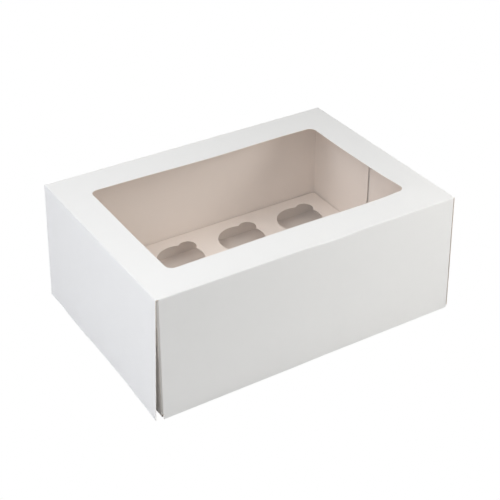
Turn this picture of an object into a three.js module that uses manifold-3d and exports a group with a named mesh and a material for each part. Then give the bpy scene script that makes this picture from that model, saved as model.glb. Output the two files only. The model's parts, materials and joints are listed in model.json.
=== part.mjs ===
// A window cake box of folded white paperboard, with a cupcake holder inside it.
// Millimetres, +Z up, X along the length, -Y the front. The lid is shut and its flaps hang as they do
// on a box that has been opened and closed: outside the tray, and a little away from it.
import * as THREE from "three";
import { mergeVertices } from "three/addons/utils/BufferGeometryUtils.js";
import Module from "manifold-3d";

const wasm = await Module();
wasm.setup();

// Outer size of the closed box, measured on the lid and from the floor to the lid's top
const boxLength = 356;
const boxDepth = 254;
const boxHeight = 142;

// Paperboard and its folds
const board = 0.5;
const foldRadius = 1;
const foldGap = 0.3;

// Window, and the clear film glued under it
const windowLength = 285;
const windowDepth = 175;
const windowRadius = 8;
const windowShift = -0.5;
const film = 0.2;
const filmLap = 10;

// Lid flaps: how much shorter than the box they are, how far they lean out, and their cut corners
const frontFlapRaise = 1;
const sideFlapRaise = 2;
const frontLean = 0.5;
const leftLean = 2.2;
const rightLean = 1.9;
const frontFlapRelief = 3;
const sideFlapRelief = 0.5;
const flapCorner = 1.5;

// Tray inside the lid: the room left around it, and the glue flaps of its front and back walls
const wallPlay = 0.5;
const lidPlay = 1.5;
const frontCornerFlap = 143;
const backCornerFlap = 143;
const cornerFlapRaise = 2;
const endWallSetback = 0.5;

// Cupcake holder: a folded platform on four legs
const holderHeight = 26;
const holderPlay = 1;
const holeColumns = 4;
const holeRows = 3;
const columnPitch = 82;
const rowPitch = 79;
const holeDiameter = 56;
const notchRadius = 10.7;
const notchOffset = 19;

// Fineness of the round stretches: an arc is drawn with twice as many flats
const foldSteps = 2;
const cornerSteps = 3;
const notchSteps = 10;
const holeSteps = 16;

// Colours
const WHITE_BOARD = 0xf1f0ee;
const CREAM_BOARD = 0xd6c8bf;
const CLEAR_FILM = 0xf4f6f8;

// Worked out from the values above
const outerFold = foldRadius + board;
const lidTop = boxHeight;
const lidUnder = lidTop - board;
const hingeZ = lidTop - board / 2;
const hingeX = boxLength / 2 - board / 2;
const hingeY = boxDepth / 2 - board / 2;
const trayLength = boxLength - 2 * (board + wallPlay);
const trayFront = -boxDepth / 2 + board + wallPlay;
const trayBack = boxDepth / 2;
const trayTop = lidUnder - lidPlay;
const backFoldX = trayLength / 2 - board;
const frontFoldX = backFoldX - board;
const holderLength = 2 * (frontFoldX - board - holderPlay);
const holderFront = trayFront + board + holderPlay;
const holderBack = trayBack - board - holderPlay;
const holderTop = board + holderHeight;
const holderMiddle = (holderFront + holderBack) / 2;
const frontFlapHeight = boxHeight - frontFlapRaise;
const sideFlapHeight = boxHeight - sideFlapRaise;

// A part's own axes laid on the box's: the outline's two, then the one it is drawn out along
const X = new THREE.Vector3(1, 0, 0);
const Y = new THREE.Vector3(0, 1, 0);
const Z = new THREE.Vector3(0, 0, 1);
const onFloor = new THREE.Matrix4().makeBasis(X, Y, Z);
const fromTheEnd = new THREE.Matrix4().makeBasis(Y, Z, X);
const fromTheFront = new THREE.Matrix4().makeBasis(X, Z, Y.clone().negate());
const turnedAbout = new THREE.Matrix4().makeBasis(X.clone().negate(), Y.clone().negate(), Z);
const hungFromTheEnd = new THREE.Matrix4().makeBasis(Y, Z.clone().negate(), X.clone().negate());
const hungFromTheFront = new THREE.Matrix4().makeBasis(X, Z.clone().negate(), Y);

function radians(degrees) {
  return THREE.MathUtils.degToRad(degrees);
}

// A closed geometry as a solid that can be joined and cut
function solid(geometry) {
  const bare = geometry.clone();
  bare.deleteAttribute("normal");
  bare.deleteAttribute("uv");
  const merged = mergeVertices(bare);
  const vertProperties = merged.attributes.position.array;
  const triVerts = new Uint32Array(merged.index.array);
  return new wasm.Manifold(new wasm.Mesh({ numProp: 3, vertProperties, triVerts }));
}

function geometryOf(body) {
  const mesh = body.getMesh();
  const geometry = new THREE.BufferGeometry();
  geometry.setAttribute("position", new THREE.BufferAttribute(mesh.vertProperties, 3));
  geometry.setIndex(new THREE.BufferAttribute(mesh.triVerts, 1));
  geometry.computeVertexNormals();
  return geometry;
}

// The shape drawn out over a length, from start, along the third axis that it is laid on
function drawnOut(shape, start, length, axes, steps = cornerSteps) {
  const options = { depth: length, bevelEnabled: false, curveSegments: steps };
  const geometry = new THREE.ExtrudeGeometry(shape, options);
  geometry.translate(0, 0, start);
  return solid(geometry.applyMatrix4(axes));
}

// A U of board with round folds: down the side at low, along the base and up the side at high.
// low, high and base are outer faces, and the two ends may stand at their own heights.
function foldedU(low, high, base, firstEnd, lastEnd) {
  const quarter = Math.PI / 2;
  const foldUp = base + outerFold;
  const firstFold = low + outerFold;
  const lastFold = high - outerFold;
  const shape = new THREE.Shape();
  shape.moveTo(low, firstEnd);
  shape.absarc(firstFold, foldUp, outerFold, 2 * quarter, 3 * quarter);
  shape.absarc(lastFold, foldUp, outerFold, 3 * quarter, 4 * quarter);
  shape.lineTo(high, lastEnd);
  shape.lineTo(high - board, lastEnd);
  shape.absarc(lastFold, foldUp, foldRadius, 4 * quarter, 3 * quarter, true);
  shape.absarc(firstFold, foldUp, foldRadius, 3 * quarter, 2 * quarter, true);
  shape.lineTo(low + board, firstEnd);
  return shape;
}

function rectangle(length, depth, radius, centreX = 0, centreY = 0) {
  const shape = new THREE.Shape();
  const right = centreX + length / 2;
  const left = centreX - length / 2;
  const back = centreY + depth / 2;
  const front = centreY - depth / 2;
  shape.absarc(right - radius, back - radius, radius, 0, Math.PI / 2);
  shape.absarc(left + radius, back - radius, radius, Math.PI / 2, Math.PI);
  shape.absarc(left + radius, front + radius, radius, Math.PI, 1.5 * Math.PI);
  shape.absarc(right - radius, front + radius, radius, 1.5 * Math.PI, 2 * Math.PI);
  return shape;
}

// The tray: bottom, four walls, and the front and back walls' glue flaps inside the end walls
function makeTray() {
  const wallLength = 2 * (frontFoldX - outerFold);
  const lengthways = foldedU(trayFront, trayBack, 0, trayTop, hingeZ);
  const walls = drawnOut(lengthways, -wallLength / 2, wallLength, fromTheEnd, foldSteps);

  const crossways = foldedU(-trayLength / 2, trayLength / 2, 0, trayTop, trayTop);
  const endDepth = trayBack - trayFront - 2 * endWallSetback;
  const ends = drawnOut(crossways, -trayBack + endWallSetback, endDepth, fromTheFront, foldSteps);

  const flapBottom = outerFold + cornerFlapRaise;
  const flapHeight = trayTop - flapBottom;
  const frontEnd = trayFront + frontCornerFlap;
  const frontPlan = foldedU(-frontFoldX, frontFoldX, trayFront, frontEnd, frontEnd);
  const frontWall = drawnOut(frontPlan, flapBottom, flapHeight, onFloor, foldSteps);
  const backEnd = -trayBack + backCornerFlap;
  const backPlan = foldedU(-backFoldX, backFoldX, -trayBack, backEnd, backEnd);
  const backWall = drawnOut(backPlan, flapBottom, flapHeight, turnedAbout, foldSteps);

  const half = board / 2;
  const fold = new THREE.CylinderGeometry(half, half, wallLength, 8 * foldSteps);
  fold.rotateZ(Math.PI / 2);
  fold.translate(0, hingeY, hingeZ);
  return geometryOf(walls.add(ends).add(frontWall).add(backWall).add(solid(fold)));
}

// One hole of the holder: a round for the cup, with two notches for a finger and a thumb
function makeHole(x, y) {
  const low = holderTop - 2 * board;
  const disc = (radius, centreX, centreY, steps) => {
    const round = new THREE.Shape().absarc(centreX, centreY, radius, 0, 2 * Math.PI);
    return drawnOut(round, low, 3 * board, onFloor, steps);
  };
  const cup = disc(holeDiameter / 2, x, y, holeSteps);
  const finger = disc(notchRadius, x + notchOffset, y + notchOffset, notchSteps);
  const thumb = disc(notchRadius, x - notchOffset, y - notchOffset, notchSteps);
  return cup.add(finger).add(thumb);
}

// The cupcake holder: a platform with a leg folded down at each side, resting on the tray's bottom
function makeHolder() {
  const lengthways = foldedU(holderFront, holderBack, -holderTop, -board, -board);
  const spanX = holderLength - 2 * outerFold;
  const long = drawnOut(lengthways, -spanX / 2, spanX, hungFromTheEnd, foldSteps);
  const crossways = foldedU(-holderLength / 2, holderLength / 2, -holderTop, -board, -board);
  const spanY = holderBack - holderFront - 2 * outerFold;
  const short = drawnOut(crossways, holderFront + outerFold, spanY, hungFromTheFront, foldSteps);
  let holder = long.add(short);
  for (let column = 0; column < holeColumns; column += 1) {
    for (let row = 0; row < holeRows; row += 1) {
      const x = (column - (holeColumns - 1) / 2) * columnPitch;
      const y = holderMiddle + (row - (holeRows - 1) / 2) * rowPitch;
      holder = holder.subtract(makeHole(x, y));
    }
  }
  return geometryOf(holder);
}

// The lid's top, cut back at each fold, with the window in it
function makeLidPanel() {
  const cutBack = board + foldGap;
  const panel = rectangle(boxLength - 2 * cutBack, boxDepth - 2 * cutBack, board);
  panel.holes.push(rectangle(windowLength, windowDepth, windowRadius, windowShift, windowShift));
  return geometryOf(drawnOut(panel, lidUnder, board, onFloor));
}

function makeFilm() {
  const length = windowLength + 2 * filmLap;
  const depth = windowDepth + 2 * filmLap;
  const sheet = rectangle(length, depth, windowRadius, windowShift, windowShift);
  return geometryOf(drawnOut(sheet, lidUnder - film, film, onFloor));
}

// A flap hanging from the fold at its own origin, with round cut corners and a round top
function makeFlap(length, height) {
  const half = board / 2;
  const shape = new THREE.Shape();
  shape.moveTo(length / 2, 0);
  shape.lineTo(-length / 2, 0);
  shape.absarc(-length / 2 + flapCorner, flapCorner - height, flapCorner, Math.PI, 1.5 * Math.PI);
  shape.absarc(length / 2 - flapCorner, flapCorner - height, flapCorner, 1.5 * Math.PI, 2 * Math.PI);
  const sheet = drawnOut(shape, -half, board, fromTheFront);
  const fold = new THREE.CylinderGeometry(half, half, length, 8 * foldSteps);
  fold.rotateZ(Math.PI / 2);
  return geometryOf(sheet.add(solid(fold)));
}

function piece(name, geometry, color, roughness = 0.6) {
  const material = new THREE.MeshStandardMaterial({ color, roughness, metalness: 0 });
  const mesh = new THREE.Mesh(geometry, material);
  mesh.name = name;
  return mesh;
}

// The flap at its fold, turned round the box to its side, then swung out by its lean
function hungFlap(name, geometry, x, y, aboutZ, lean) {
  const flap = piece(name, geometry, WHITE_BOARD);
  flap.rotation.x = -radians(lean);
  const side = new THREE.Group();
  side.position.set(x, y, hingeZ);
  side.rotation.z = radians(aboutZ);
  side.add(flap);
  return side;
}

// The origin is under the middle of the whole outline, leaning flaps included
function reach(fold, height, lean) {
  return fold + height * Math.sin(radians(lean)) + (board / 2) * Math.cos(radians(lean));
}
const leftReach = reach(hingeX, sideFlapHeight, leftLean);
const rightReach = reach(hingeX, sideFlapHeight, rightLean);
const frontReach = reach(hingeY, frontFlapHeight, frontLean);

const box = new THREE.Group();
box.position.set((leftReach - rightReach) / 2, (frontReach - trayBack) / 2, 0);
box.add(piece("tray", makeTray(), WHITE_BOARD));
box.add(piece("cupcake_holder", makeHolder(), CREAM_BOARD));
box.add(piece("lid_panel", makeLidPanel(), WHITE_BOARD));
const windowFilm = piece("window_film", makeFilm(), CLEAR_FILM, 0.05);
windowFilm.material.transparent = true;
windowFilm.material.opacity = 0.2;
box.add(windowFilm);

const frontFlap = makeFlap(boxLength - 2 * frontFlapRelief, frontFlapHeight);
box.add(hungFlap("front_flap", frontFlap, 0, -hingeY, 0, frontLean));
const sideFlap = makeFlap(boxDepth - 2 * sideFlapRelief, sideFlapHeight);
box.add(hungFlap("left_flap", sideFlap, -hingeX, 0, -90, leftLean));
box.add(hungFlap("right_flap", sideFlap, hingeX, 0, 90, rightLean));

export default box;
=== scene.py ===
"""A cupcake box of folded white paperboard with a window lid, closed, from its front left.

Shapes are drawn in millimetres in the row frame, from the frame's own folds and sizes, as sheets
without thickness. Each becomes a piece when the board's thickness is put on and it is scaled to metres.
"""

import json
from math import ceil
from math import copysign
from math import exp
from math import floor
from math import radians
from math import tan

import bmesh
import bpy
from mathutils import Euler
from mathutils import Matrix
from mathutils import Vector

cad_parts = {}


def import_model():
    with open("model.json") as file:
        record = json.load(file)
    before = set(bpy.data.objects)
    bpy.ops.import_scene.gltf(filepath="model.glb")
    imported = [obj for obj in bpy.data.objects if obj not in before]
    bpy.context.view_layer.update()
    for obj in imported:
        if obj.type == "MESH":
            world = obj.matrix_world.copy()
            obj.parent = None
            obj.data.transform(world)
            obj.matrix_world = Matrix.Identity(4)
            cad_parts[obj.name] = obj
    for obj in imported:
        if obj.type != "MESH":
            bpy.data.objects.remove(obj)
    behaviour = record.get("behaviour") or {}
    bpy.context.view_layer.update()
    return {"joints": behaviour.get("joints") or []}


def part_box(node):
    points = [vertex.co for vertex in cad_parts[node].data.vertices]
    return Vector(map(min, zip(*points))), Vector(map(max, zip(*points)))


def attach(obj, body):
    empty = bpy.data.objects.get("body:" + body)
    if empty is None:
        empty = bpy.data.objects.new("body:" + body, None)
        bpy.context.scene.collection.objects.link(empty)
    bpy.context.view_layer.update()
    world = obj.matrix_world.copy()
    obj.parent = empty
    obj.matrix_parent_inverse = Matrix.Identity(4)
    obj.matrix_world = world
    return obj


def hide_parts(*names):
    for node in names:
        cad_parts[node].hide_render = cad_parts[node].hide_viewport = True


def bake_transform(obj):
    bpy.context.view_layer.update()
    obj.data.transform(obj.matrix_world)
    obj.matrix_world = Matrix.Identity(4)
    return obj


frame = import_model()

MM = 0.001
BOARD = 0.5
FILM = 0.2

# Mid-surface radii of the folds: the walls' are round, the lid's were pressed flat when it was packed
WALL_FOLD = 1.25
LID_FOLD = 0.9
FOLD_SEGMENTS = 6

# The lid's top is its own piece up to this far from the folds, and the rest bends with them
SEAM = 2.75
# A sheet is cut at every multiple of this, so that it can warp and its neighbours' edges meet
SLICE = 8

# The window's round corners, and the film's glued margin round it
WINDOW_CORNER = 8
WINDOW_SEGMENTS = 36
FILM_MARGIN = 10

# The tray's walls end this far under the lid's folds
TRAY_DROP = 1.75
# Where two folded strips make one box, each turned edge reaches this far over the other's panel
PANEL_LAP = 2
# The end walls stop this far short of the front and back walls, at the round corners
END_INSET = 1

# Glue flaps: how far up they start, how long they are, and how they lie on the end walls
GLUE_FOOT = 3.25
GLUE_LENGTH = 142.75
GLUE_OVERLAP = 20
FRONT_GLUE_INSET = 0.5
BACK_GLUE_INSET = 1
GLUE_LOOSE = 1.6
GLUE_LOOSE_LENGTH = 70

# The holder's holes, four along the box and three across it
COLUMNS = 4
ROWS = 3
COLUMN_PITCH = 82
ROW_PITCH = 79
HOLE_RADIUS = 28
NOTCH_RADIUS = 10.7
NOTCH_OFFSET = 19

SIDE_NAMES = {-1: "left", 1: "right"}


def millimetres(point):
    return Vector(point) / MM


def box_of(node):
    low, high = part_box(node)
    return millimetres(low), millimetres(high)


joints = {joint["name"]: joint for joint in frame["joints"]}


def fold_at(joint):
    return millimetres(joints[joint]["pos_m"])


def lean_of(joint):
    """How far out from upright a flap hangs: its fold's lower limit brings it upright."""
    return radians(-joints[joint]["range_deg"][0])


lid_z = fold_at("lid_hinge").z
back_y = fold_at("lid_hinge").y
front_y = fold_at("front_flap_fold").y
left_x = fold_at("left_flap_fold").x
right_x = fold_at("right_flap_fold").x
middle_x = (left_x + right_x) / 2

tray_low, tray_high = box_of("tray")
holder_low, holder_high = box_of("cupcake_holder")
film_low, film_high = box_of("window_film")
front_low, front_high = box_of("front_flap")
# The lid's top is a little longer than the front flap's flat size, on its right
LID_EXTRA = 1
lid_left, lid_right = front_low.x, front_high.x + LID_EXTRA
left_low, left_high = box_of("left_flap")
right_low, right_high = box_of("right_flap")
tray_top = lid_z - TRAY_DROP


# Sheets


def along(axis, length):
    vector = Vector((0, 0, 0))
    vector[axis] = length
    return vector


def draw_sheet(shape, points, run, outward, radius):
    """A sheet through a row of points, drawn along run, with its folds rounded to radius.

    outward is the side of the first panel that the board's white face is on.
    """
    before = set(shape.edges)
    row = [shape.verts.new(point) for point in points]
    edges = [shape.edges.new(pair) for pair in zip(row, row[1:])]
    drawn = bmesh.ops.extrude_edge_only(shape, edges=edges)["geom"]
    moved = [part for part in drawn if isinstance(part, bmesh.types.BMVert)]
    faces = [part for part in drawn if isinstance(part, bmesh.types.BMFace)]
    bmesh.ops.translate(shape, verts=moved, vec=run)
    shape.normal_update()
    first = next(face for face in faces if row[0] in face.verts)
    if first.normal.dot(outward) < 0:
        bmesh.ops.reverse_faces(shape, faces=faces)
    folds = [edge for edge in shape.edges if edge not in before and len(edge.link_faces) == 2]
    if folds:
        bmesh.ops.bevel(
            shape,
            geom=folds,
            offset=radius,
            segments=FOLD_SEGMENTS,
            profile=0.5,
            affect="EDGES",
            material=-1,
        )


def slice_up(shape, axes="XYZ"):
    """Cuts the shape at every multiple of SLICE along these axes."""
    for name in axes:
        axis = "XYZ".index(name)
        places = [vertex.co[axis] for vertex in shape.verts]
        for step in range(ceil(min(places) / SLICE), floor(max(places) / SLICE) + 1):
            bmesh.ops.bisect_plane(
                shape,
                geom=[*shape.verts, *shape.edges, *shape.faces],
                plane_co=along(axis, step * SLICE),
                plane_no=along(axis, 1),
                dist=0.01,
            )


def bump(value, centre, reach):
    """1 at the centre, and next to nothing at twice the reach from it."""
    return exp(-(((value - centre) / reach) ** 2))


def ramp(value, start, end):
    """From 0 at start to 1 at end, smoothly."""
    part = min(max((value - start) / (end - start), 0), 1)
    return part * part * (3 - 2 * part)


# How this box has bent


def front_dip(x):
    """The front fold gives a little where the box was pressed shut."""
    return -1.2 * ramp(x, -6, 16) * ramp(x, 60, 28)


def lid_rise(x, y):
    """The lid is held at its side and back folds and gives between them, most along the window."""
    held = ramp(x, left_x, left_x + 24) * ramp(x, right_x, right_x - 24) * ramp(y, back_y, back_y - 24)
    front = ramp(y, front_y + 26, front_y)
    free = ramp(y, front_y, front_y + 24)
    rise = 1.0 * bump(x, -5, 70) * bump(y, -88, 26)
    rise -= 1.5 * bump(x, 8, 75) * bump(y, 92, 30)
    rise -= 0.8 * bump(x, -146, 24) * bump(y, -20, 50)
    rise -= 1.4 * bump(x, 142, 26) * bump(y, 30, 62)
    rise += 1.9 * bump(x, 142, 24) * bump(y, -84, 26)
    return held * (free * rise + front * front_dip(x))


def front_bend(x, down):
    """How far the front flap has moved, at a share of its height down: it widens and stands out."""
    across = (x - lid_left) / (lid_right - lid_left)
    widening = (5.6 * across - 2) * down
    lean = 0.45 + 0.5 * ramp(x, 20, -170) - 0.4 * ramp(x, -20, 30)
    hollow = 0.45 * ramp(x, -20, 24) * ramp(x, 32, 24) * bump(down, 0.62, 0.35)
    return Vector((widening, hollow - lean * down, 0))


def left_bend(y, down):
    """The left flap's lower edge is wavy, and its front tip hangs lower and further out."""
    wave = bump(y, -91, 18) - 0.4 * bump(y, -22, 34) + 0.5 * bump(y, 55, 22)
    wave -= 0.4 * bump(y, 97, 14)
    tip = ramp(y, -95, -127)
    return Vector((-(wave + 1.1 * tip) * down**1.2, 0, -1.8 * tip * down))


def right_bend(y, down):
    """The right flap's lower edge is wavy too."""
    wave = 0.7 * bump(y, -40, 50) - 0.4 * bump(y, 60, 40)
    return Vector((wave * down, 0, 0))


# Materials


def new_node(tree, kind, **values):
    """A shader node with its settings, or the values of its named inputs."""
    made = tree.nodes.new("ShaderNode" + kind)
    for name, value in values.items():
        if hasattr(made, name):
            setattr(made, name, value)
        else:
            made.inputs[name.replace("_", " ")].default_value = value
    return made


def board_grain_group():
    """Paperboard: a soft mottle, short fibres and a fine tooth."""
    group = bpy.data.node_groups.new("Board grain", "ShaderNodeTree")
    sockets = group.interface
    sockets.new_socket("Colour", in_out="INPUT", socket_type="NodeSocketColor")
    sockets.new_socket("Mottle", in_out="INPUT", socket_type="NodeSocketFloat")
    sockets.new_socket("Fibres", in_out="INPUT", socket_type="NodeSocketFloat")
    sockets.new_socket("Tooth", in_out="INPUT", socket_type="NodeSocketFloat")
    sockets.new_socket("Colour", in_out="OUTPUT", socket_type="NodeSocketColor")
    sockets.new_socket("Normal", in_out="OUTPUT", socket_type="NodeSocketVector")
    given = group.nodes.new("NodeGroupInput")
    result = group.nodes.new("NodeGroupOutput")
    place = new_node(group, "TexCoord")
    link = group.links.new

    mottle = new_node(group, "TexNoise", Scale=60.0, Detail=3.0)
    link(place.outputs["Object"], mottle.inputs["Vector"])
    stretched = new_node(group, "Mapping", Scale=(1.0, 2.2, 1.6))
    link(place.outputs["Object"], stretched.inputs["Vector"])
    fibres = new_node(group, "TexNoise", Scale=520.0, Detail=4.0, Roughness=0.6)
    link(stretched.outputs["Vector"], fibres.inputs["Vector"])

    tones = []
    for noise, amount in ((mottle, "Mottle"), (fibres, "Fibres")):
        centred = new_node(group, "Math", operation="SUBTRACT")
        centred.inputs[1].default_value = 0.5
        link(noise.outputs["Fac"], centred.inputs[0])
        scaled = new_node(group, "Math", operation="MULTIPLY")
        link(centred.outputs["Value"], scaled.inputs[0])
        link(given.outputs[amount], scaled.inputs[1])
        tones.append(scaled)
    both = new_node(group, "Math", operation="ADD")
    link(tones[0].outputs["Value"], both.inputs[0])
    link(tones[1].outputs["Value"], both.inputs[1])
    tone = new_node(group, "Math", operation="ADD")
    tone.inputs[1].default_value = 1.0
    link(both.outputs["Value"], tone.inputs[0])
    toned = new_node(group, "VectorMath", operation="SCALE")
    link(given.outputs["Colour"], toned.inputs[0])
    link(tone.outputs["Value"], toned.inputs["Scale"])
    link(toned.outputs["Vector"], result.inputs["Colour"])

    tooth = new_node(group, "Bump", Distance=0.00005)
    link(given.outputs["Tooth"], tooth.inputs["Strength"])
    link(fibres.outputs["Fac"], tooth.inputs["Height"])
    link(tooth.outputs["Normal"], result.inputs["Normal"])
    return group


board_grain = board_grain_group()


def board_material(name, colour, roughness, mottle, fibres, tooth):
    material = bpy.data.materials.new(name)
    material.use_nodes = True
    tree = material.node_tree
    shader = tree.nodes["Principled BSDF"]
    grain = new_node(tree, "Group", node_tree=board_grain)
    grain.inputs["Colour"].default_value = (*colour, 1)
    grain.inputs["Mottle"].default_value = mottle
    grain.inputs["Fibres"].default_value = fibres
    grain.inputs["Tooth"].default_value = tooth
    tree.links.new(grain.outputs["Colour"], shader.inputs["Base Color"])
    tree.links.new(grain.outputs["Normal"], shader.inputs["Normal"])
    shader.inputs["Roughness"].default_value = roughness
    shader.inputs["IOR"].default_value = 1.45
    return material


white_face = board_material(
    "White face", (0.86, 0.857, 0.852), 0.5, mottle=0.02, fibres=0.02, tooth=0.15
)
cream_face = board_material(
    "Cream face", (0.97, 0.88, 0.81), 0.85, mottle=0.04, fibres=0.07, tooth=0.5
)
cut_edge = board_material(
    "Cut edge", (0.94, 0.90, 0.84), 0.9, mottle=0.04, fibres=0.2, tooth=0.6
)


def film_material():
    """Clear film: nearly unseen straight on, and a rippled mirror at a slant."""
    material = bpy.data.materials.new("Clear film")
    material.use_nodes = True
    tree = material.node_tree
    shader = tree.nodes["Principled BSDF"]
    shader.inputs["Base Color"].default_value = (0.9, 0.92, 0.94, 1)
    shader.inputs["Roughness"].default_value = 0.16
    slant = new_node(tree, "LayerWeight", Blend=0.5)
    steep = new_node(tree, "Math", operation="POWER")
    steep.inputs[1].default_value = 5.0
    cover = new_node(tree, "MapRange", To_Min=0.02, To_Max=0.9)
    tree.links.new(slant.outputs["Facing"], steep.inputs[0])
    tree.links.new(steep.outputs["Value"], cover.inputs["Value"])
    tree.links.new(cover.outputs["Result"], shader.inputs["Alpha"])
    place = new_node(tree, "TexCoord")
    ripples = new_node(tree, "TexNoise", Scale=16.0, Detail=1.0)
    waves = new_node(tree, "Bump", Strength=0.7, Distance=0.001)
    tree.links.new(place.outputs["Object"], ripples.inputs["Vector"])
    tree.links.new(ripples.outputs["Fac"], waves.inputs["Height"])
    tree.links.new(waves.outputs["Normal"], shader.inputs["Normal"])
    return material


clear_film = film_material()


# Pieces


def object_of(name, shape, materials):
    mesh = bpy.data.meshes.new(name)
    shape.to_mesh(mesh)
    shape.free()
    for material in materials:
        mesh.materials.append(material)
    made = bpy.data.objects.new(name, mesh)
    bpy.context.collection.objects.link(made)
    return made


def sheet_piece(name, shape, thickness, materials):
    """A sheet given its thickness. Its first material is the outward face, then the inward and the cut."""
    bmesh.ops.scale(shape, verts=shape.verts, vec=(MM, MM, MM))
    piece = object_of(name, shape, materials)
    solid = piece.modifiers.new("Thickness", "SOLIDIFY")
    solid.thickness = thickness * MM
    solid.offset = 0
    solid.use_even_offset = True
    solid.material_offset = 1
    solid.material_offset_rim = 2
    return piece


def settle(piece):
    """Applies the piece's modifiers and shades it smooth up to its cut edges."""
    view = bpy.context.evaluated_depsgraph_get()
    mesh = bpy.data.meshes.new_from_object(piece.evaluated_get(view))
    piece.modifiers.clear()
    piece.data = mesh
    mesh.shade_smooth()
    mesh.set_sharp_from_angle(angle=radians(35))
    return piece


def board_piece(name, shape):
    """A piece of the box's own board: white outside, cream inside."""
    return settle(sheet_piece(name, shape, BOARD, (white_face, cream_face, cut_edge)))


def lid_top():
    """The lid's flat panel, with the round-cornered window cut out of it."""
    shape = bmesh.new()
    window_length = film_high.x - film_low.x - 2 * FILM_MARGIN
    window_depth = film_high.y - film_low.y - 2 * FILM_MARGIN
    window_x = (film_low.x + film_high.x) / 2
    window_y = (film_low.y + film_high.y) / 2
    # Half a segment's turn leaves no point on an axis, and each quarter then moves to its own corner
    drawn = bmesh.ops.create_circle(
        shape,
        segments=WINDOW_SEGMENTS,
        radius=WINDOW_CORNER,
        matrix=Matrix.Rotation(radians(180 / WINDOW_SEGMENTS), 4, "Z"),
    )
    for vertex in drawn["verts"]:
        vertex.co.x += copysign(window_length / 2 - WINDOW_CORNER, vertex.co.x) + window_x
        vertex.co.y += copysign(window_depth / 2 - WINDOW_CORNER, vertex.co.y) + window_y
        vertex.co.z = lid_z
    front, back = front_y + SEAM, back_y - SEAM
    outline = ((lid_left, front), (lid_right, front), (lid_right, back), (lid_left, back))
    around = [shape.verts.new((x, y, lid_z)) for x, y in outline]
    for vertex, neighbour in zip(around, around[1:] + around[:1]):
        shape.edges.new((vertex, neighbour))
    bmesh.ops.triangle_fill(shape, edges=shape.edges[:], use_beauty=True)
    shape.normal_update()
    downward = [face for face in shape.faces if face.normal.z < 0]
    bmesh.ops.reverse_faces(shape, faces=downward)
    slice_up(shape, "XY")
    for vertex in shape.verts:
        vertex.co.z += lid_rise(vertex.co.x, vertex.co.y)
    piece = board_piece("lid_top", shape)
    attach(piece, "lid")
    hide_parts("lid_panel")


def front_flap():
    shape = bmesh.new()
    height = front_high.z - front_low.z - BOARD / 2
    out = tan(lean_of("front_flap_fold")) * height
    points = (
        (lid_left, front_y + SEAM, lid_z),
        (lid_left, front_y, lid_z),
        (lid_left, front_y - out, lid_z - height),
    )
    draw_sheet(shape, points, along(0, lid_right - lid_left), along(2, 1), LID_FOLD)
    slice_up(shape, "XZ")
    for vertex in shape.verts:
        place = vertex.co.copy()
        down = max(0, lid_z - place.z) / height
        vertex.co.z += lid_rise(place.x, max(place.y, front_y)) * (1 - down)
        vertex.co += front_bend(place.x, down)
    piece = board_piece("front_flap_board", shape)
    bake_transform(piece)
    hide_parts("front_flap")


def side_flap(side, low, high, fold_x, bend):
    """side is -1 for the left flap and 1 for the right one."""
    shape = bmesh.new()
    height = high.z - low.z - BOARD / 2
    out = tan(lean_of(SIDE_NAMES[side] + "_flap_fold")) * height
    seam_x = lid_left if side < 0 else lid_right
    points = (
        (seam_x, low.y, lid_z),
        (fold_x, low.y, lid_z),
        (fold_x + side * out, low.y, lid_z - height),
    )
    draw_sheet(shape, points, along(1, high.y - low.y), along(2, 1), LID_FOLD)
    slice_up(shape, "YZ")
    for vertex in shape.verts:
        down = max(0, lid_z - vertex.co.z) / height
        vertex.co += bend(vertex.co.y, down)
    name = SIDE_NAMES[side] + "_flap"
    piece = board_piece(name + "_board", shape)
    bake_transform(piece)
    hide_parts(name)


def back_fold():
    """The strip that the lid turns on, from the lid's top over the fold to the back wall."""
    shape = bmesh.new()
    points = (
        (lid_left, back_y - SEAM, lid_z),
        (lid_left, back_y, lid_z),
        (lid_left, back_y, tray_top),
    )
    draw_sheet(shape, points, along(0, lid_right - lid_left), along(2, 1), LID_FOLD)
    slice_up(shape, "X")
    piece = board_piece("back_fold", shape)
    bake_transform(piece)


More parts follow.
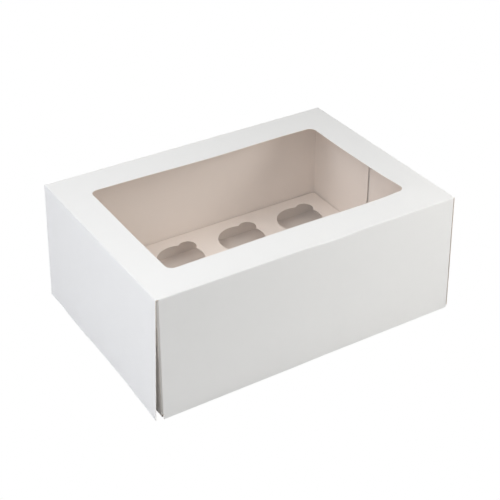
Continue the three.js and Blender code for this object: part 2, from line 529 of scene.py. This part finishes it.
def tray():
    """Bottom and four walls, with the front and back walls' glue flaps inside the end walls."""
    shape = bmesh.new()
    half = BOARD / 2
    left, right = tray_low.x + half, tray_high.x - half
    front, back = tray_low.y + half, back_y
    floor_z = tray_low.z + half
    flap_foot = floor_z + GLUE_FOOT
    for side in (-1, 1):
        end_x = left if side < 0 else right
        base = (
            (end_x, front + END_INSET, tray_top),
            (end_x, front + END_INSET, floor_z),
            (end_x - side * PANEL_LAP, front + END_INSET, floor_z),
        )
        draw_sheet(shape, base, along(1, back - front - 2 * END_INSET), along(0, side), WALL_FOLD)
    base = (
        (left + PANEL_LAP, front, flap_foot),
        (left + PANEL_LAP, front, floor_z),
        (left + PANEL_LAP, back, floor_z),
        (left + PANEL_LAP, back, flap_foot),
    )
    draw_sheet(shape, base, along(0, right - left - 2 * PANEL_LAP), along(1, -1), WALL_FOLD)
    flap_end = front + GLUE_LENGTH
    glued = (
        (FRONT_GLUE_INSET, front, flap_end + GLUE_OVERLAP),
        (BACK_GLUE_INSET, back, flap_end),
    )
    for inset, wall_y, end_y in glued:
        plan = (
            (left + inset, end_y, flap_foot),
            (left + inset, wall_y, flap_foot),
            (right - inset, wall_y, flap_foot),
            (right - inset, end_y, flap_foot),
        )
        draw_sheet(shape, plan, along(2, tray_top - flap_foot), along(0, -1), WALL_FOLD)
    slice_up(shape)
    # The back wall's glue flaps stand off towards their free ends
    for vertex in shape.verts:
        inward = min(vertex.co.x - left, right - vertex.co.x)
        if abs(inward - BACK_GLUE_INSET) < 0.1 and vertex.co.z > flap_foot - 0.1:
            loose = GLUE_LOOSE * ramp(vertex.co.y, flap_end + GLUE_LOOSE_LENGTH, flap_end)
            vertex.co.x += loose if vertex.co.x < middle_x else -loose
    piece = board_piece("tray_board", shape)
    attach(piece, "box")
    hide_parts("tray")


holder_faces = (cream_face, cream_face, cut_edge)


def hole_cutter(middle):
    """What is cut out of the holder: a round hole for each cake, with a notch at two of its corners."""
    cutter = bmesh.new()
    rounds = (
        (HOLE_RADIUS, 0, 96),
        (NOTCH_RADIUS, NOTCH_OFFSET, 48),
        (NOTCH_RADIUS, -NOTCH_OFFSET, 48),
    )
    for column in range(COLUMNS):
        for row in range(ROWS):
            across = (column - (COLUMNS - 1) / 2) * COLUMN_PITCH
            deep = (row - (ROWS - 1) / 2) * ROW_PITCH
            for radius, offset, segments in rounds:
                centre = middle + Vector((across + offset, deep + offset, 0))
                bmesh.ops.create_cone(
                    cutter,
                    cap_ends=True,
                    segments=segments,
                    radius1=radius,
                    radius2=radius,
                    depth=8 * BOARD,
                    matrix=Matrix.Translation(centre),
                )
    for face in cutter.faces:
        face.material_index = 2
    bmesh.ops.scale(cutter, verts=cutter.verts, vec=(MM, MM, MM))
    return object_of("holes", cutter, holder_faces)


def holder():
    """The cupcakes' platform on its four legs, with a hole and two notches for each cake."""
    shape = bmesh.new()
    half = BOARD / 2
    top = holder_high.z - half
    foot = holder_low.z
    left, right = holder_low.x + half, holder_high.x - half
    front, back = holder_low.y + half, holder_high.y - half
    for side in (-1, 1):
        x = left if side < 0 else right
        leg = (
            (x, front + PANEL_LAP, foot),
            (x, front + PANEL_LAP, top),
            (x - side * PANEL_LAP, front + PANEL_LAP, top),
        )
        draw_sheet(shape, leg, along(1, back - front - 2 * PANEL_LAP), along(0, side), WALL_FOLD)
    long = (
        (left + PANEL_LAP, front, foot),
        (left + PANEL_LAP, front, top),
        (left + PANEL_LAP, back, top),
        (left + PANEL_LAP, back, foot),
    )
    draw_sheet(shape, long, along(0, right - left - 2 * PANEL_LAP), along(1, -1), WALL_FOLD)
    slice_up(shape, "XY")
    bmesh.ops.remove_doubles(shape, verts=shape.verts, dist=0.02)
    piece = sheet_piece("holder_board", shape, BOARD, holder_faces)
    holes = hole_cutter(Vector(((left + right) / 2, (front + back) / 2, top)))
    cut = piece.modifiers.new("Holes", "BOOLEAN")
    cut.operation = "DIFFERENCE"
    cut.solver = "EXACT"
    cut.use_self = True
    cut.material_mode = "INDEX"
    cut.object = holes
    settle(piece)
    bpy.data.objects.remove(holes)
    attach(piece, "box")
    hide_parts("cupcake_holder")


def window_film():
    """The film lies under the lid that it is glued to, and bends with it."""
    shape = bmesh.new()
    z = lid_z - (BOARD + FILM) / 2
    points = ((film_low.x, film_low.y, z), (film_high.x, film_low.y, z))
    draw_sheet(shape, points, along(1, film_high.y - film_low.y), along(2, 1), LID_FOLD)
    slice_up(shape, "XY")
    for vertex in shape.verts:
        vertex.co.z += lid_rise(vertex.co.x, vertex.co.y)
    piece = settle(sheet_piece("window_film_sheet", shape, FILM, [clear_film] * 3))
    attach(piece, "lid")
    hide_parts("window_film")


tray()
holder()
back_fold()
lid_top()
window_film()
front_flap()
side_flap(-1, left_low, left_high, left_x, left_bend)
side_flap(1, right_low, right_high, right_x, right_bend)


# The white room round it


def white_to_camera(tree, lit, white, output):
    """The camera sees the white shader, and everything else the lit one."""
    rays = new_node(tree, "LightPath")
    mix = new_node(tree, "MixShader")
    tree.links.new(rays.outputs["Is Camera Ray"], mix.inputs["Fac"])
    tree.links.new(lit, mix.inputs[1])
    tree.links.new(white, mix.inputs[2])
    tree.links.new(mix.outputs["Shader"], tree.nodes[output].inputs["Surface"])


def stage_floor():
    """White to the camera, and a bright table to the light that falls on the box."""
    material = bpy.data.materials.new("Floor")
    material.use_nodes = True
    tree = material.node_tree
    tree.nodes.remove(tree.nodes["Principled BSDF"])
    plain = new_node(tree, "BsdfDiffuse", Color=(0.85, 0.85, 0.85, 1))
    white = new_node(tree, "Emission", Color=(1, 1, 1, 1), Strength=1.0)
    white_to_camera(tree, plain.outputs["BSDF"], white.outputs["Emission"], "Material Output")

    shape = bmesh.new()
    bmesh.ops.create_grid(shape, x_segments=1, y_segments=1, size=3)
    table = object_of("floor", shape, [material])
    # A hair under the box, so that the two don't lie in one plane
    table.location.z = -0.0002


def world():
    """A white room, brighter to the box's right. The camera sees it plain white."""
    made = bpy.data.worlds.new("White room")
    bpy.context.scene.world = made
    made.use_nodes = True
    tree = made.node_tree
    light = tree.nodes["Background"]
    place = new_node(tree, "TexCoord")
    parts = new_node(tree, "SeparateXYZ")
    across = new_node(tree, "MapRange", From_Min=-1.0, From_Max=1.0, To_Min=0.01, To_Max=0.6)
    tree.links.new(place.outputs["Generated"], parts.inputs["Vector"])
    tree.links.new(parts.outputs["X"], across.inputs["Value"])
    tree.links.new(across.outputs["Result"], light.inputs["Strength"])
    light.inputs["Color"].default_value = (1.0, 0.995, 0.97, 1)
    seen = new_node(tree, "Background", Color=(1, 1, 1, 1), Strength=1.0)
    white_to_camera(tree, light.outputs["Background"], seen.outputs["Background"], "World Output")


def area_lamp(name, place, target, size, power, colour=(1, 1, 1)):
    data = bpy.data.lights.new(name, "AREA")
    data.shape = "SQUARE"
    data.size = size
    data.energy = power
    data.color = colour
    lamp = bpy.data.objects.new(name, data)
    lamp.location = place
    aim = Vector(target) - Vector(place)
    lamp.rotation_euler = aim.to_track_quat("-Z", "Y").to_euler()
    lamp.visible_camera = False
    bpy.context.collection.objects.link(lamp)


def camera():
    """Looks down on the box from its front left, as the photograph does."""
    data = bpy.data.cameras.new("camera")
    data.sensor_width = 36
    data.lens = 85.4
    data.clip_end = 20
    eye = bpy.data.objects.new("camera", data)
    eye.location = Vector((-571.4, -929.5, 771.45)) * MM
    level = Euler((radians(90 - 32.814), 0, radians(-31.704))).to_matrix()
    roll = Matrix.Rotation(radians(-0.15), 3, "Z")
    eye.rotation_euler = (level @ roll).to_euler()
    bpy.context.collection.objects.link(eye)
    bpy.context.scene.camera = eye


stage_floor()
world()
# Softboxes: where each stands, what it points at, its width in metres, its power and its colour
area_lamp("overhead", (-0.05, 0, 0.8), (0, 0, 0.07), 0.5, 0.8)
area_lamp("high left", (-0.8, 0, 1.2), (0, 0, 0.07), 0.5, 3.45, (0.97, 0.985, 1.0))
area_lamp("left", (-1.2, 0.1, 0.5), (0, 0, 0.07), 0.6, 4.3, (0.91, 0.93, 1.0))
area_lamp("left above", (-0.45, -0.25, 0.6), (-0.1, 0, 0.14), 0.3, 0.85, (0.98, 0.99, 1.0))
area_lamp("right above", (0.45, -0.45, 0.45), (0.1, -0.1, 0.14), 0.3, 1.6, (1.0, 0.99, 0.96))
area_lamp("high front", (0, -0.7, 1.3), (0, 0, 0.07), 0.5, 0.6)
area_lamp("front", (0.1, -0.5, 0.2), (0.07, -0.13, 0.07), 0.25, 0.08)
area_lamp("behind", (0.2, 1.3, 0.3), (0, 0, 0.07), 0.8, 3)
camera()
bpy.context.scene.view_settings.view_transform = "Standard"
